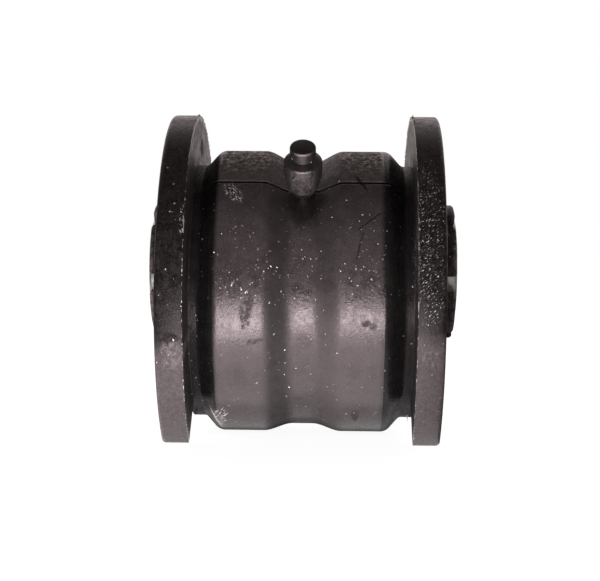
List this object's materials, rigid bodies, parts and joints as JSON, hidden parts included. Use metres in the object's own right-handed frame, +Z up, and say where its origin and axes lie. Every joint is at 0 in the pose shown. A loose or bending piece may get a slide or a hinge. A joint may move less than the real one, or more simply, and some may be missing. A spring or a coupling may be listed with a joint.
{
  "type": "control arm bushing",
  "caption": "Double-lobed rubber suspension bushing with D-shaped end flanges, an eccentric steel bolt sleeve and a locating nub.",
  "frame": {"origin": "centre of the bolt bore, halfway along the sleeve", "axes": "+X along the bolt bore, +Z up in the pose in which the part comes to rest, with the nub leaning towards -Y"},
  "size_m": [0.0606, 0.0674, 0.0648],
  "materials": {
    "rubber": "satin moulded black rubber with a brown cast",
    "sleeve_steel": "drawn steel tube, lightly oiled"
  },
  "bodies": {
    "root": {"rubber_body": "rubber", "inner_sleeve": "sleeve_steel"}
  },
  "joints": []
}
